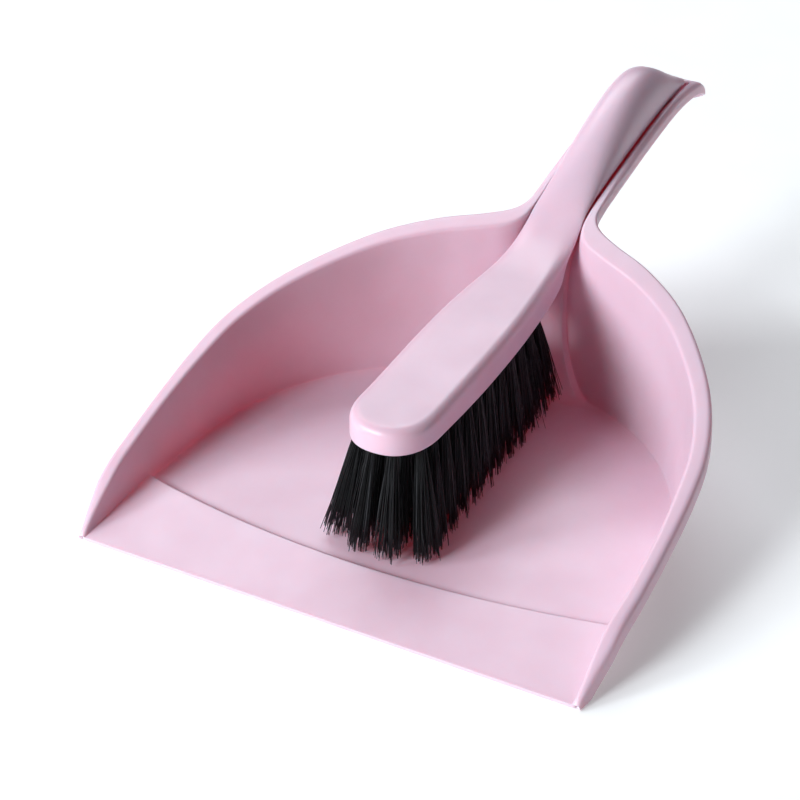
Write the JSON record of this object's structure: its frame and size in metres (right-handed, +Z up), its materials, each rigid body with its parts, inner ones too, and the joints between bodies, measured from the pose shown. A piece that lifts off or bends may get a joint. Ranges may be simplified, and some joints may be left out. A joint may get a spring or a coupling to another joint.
{
  "type": "dust pan and brush set",
  "caption": "Hand dust pan with a raised rim, a front ramp and a trough handle, holding a hand brush whose handle nests in the pan's handle.",
  "frame": {"origin": "on the surface it stands on, under the middle of the set's bounding box", "axes": "+Y from the pan's lip towards the tip of its handle, +X to the right seen from the lip, +Z up"},
  "size_m": [0.2208, 0.341, 0.109],
  "materials": {
    "pan_plastic": "satin",
    "brush_plastic": "satin",
    "bristles": "drawn nylon filament"
  },
  "bodies": {
    "pan": {"dustpan": "pan_plastic"},
    "brush": {"brush_block": "brush_plastic", "tuft_1_01": "bristles", "tuft_1_02": "bristles", "tuft_1_03": "bristles", "tuft_1_04": "bristles", "tuft_1_05": "bristles", "tuft_1_06": "bristles", "tuft_1_07": "bristles", "tuft_1_08": "bristles", "tuft_1_09": "bristles", "tuft_1_10": "bristles", "tuft_1_11": "bristles", "tuft_1_12": "bristles", "tuft_2_01": "bristles", "tuft_2_02": "bristles", "tuft_2_03": "bristles", "tuft_2_04": "bristles", "tuft_2_05": "bristles", "tuft_2_06": "bristles", "tuft_2_07": "bristles", "tuft_2_08": "bristles", "tuft_2_09": "bristles", "tuft_2_10": "bristles", "tuft_2_11": "bristles", "tuft_2_12": "bristles", "tuft_2_13": "bristles", "tuft_3_01": "bristles", "tuft_3_02": "bristles", "tuft_3_03": "bristles", "tuft_3_04": "bristles", "tuft_3_05": "bristles", "tuft_3_06": "bristles", "tuft_3_07": "bristles", "tuft_3_08": "bristles", "tuft_3_09": "bristles", "tuft_3_10": "bristles", "tuft_3_11": "bristles", "tuft_3_12": "bristles", "tuft_3_13": "bristles", "tuft_4_01": "bristles", "tuft_4_02": "bristles", "tuft_4_03": "bristles", "tuft_4_04": "bristles", "tuft_4_05": "bristles", "tuft_4_06": "bristles", "tuft_4_07": "bristles", "tuft_4_08": "bristles", "tuft_4_09": "bristles", "tuft_4_10": "bristles", "tuft_4_11": "bristles", "tuft_4_12": "bristles"}
  },
  "joints": [
    {"name": "brush_lift", "type": "slide", "parent": "pan", "child": "brush", "axis": [0, 0, 1], "range_m": [0, 0.12]}
  ]
}
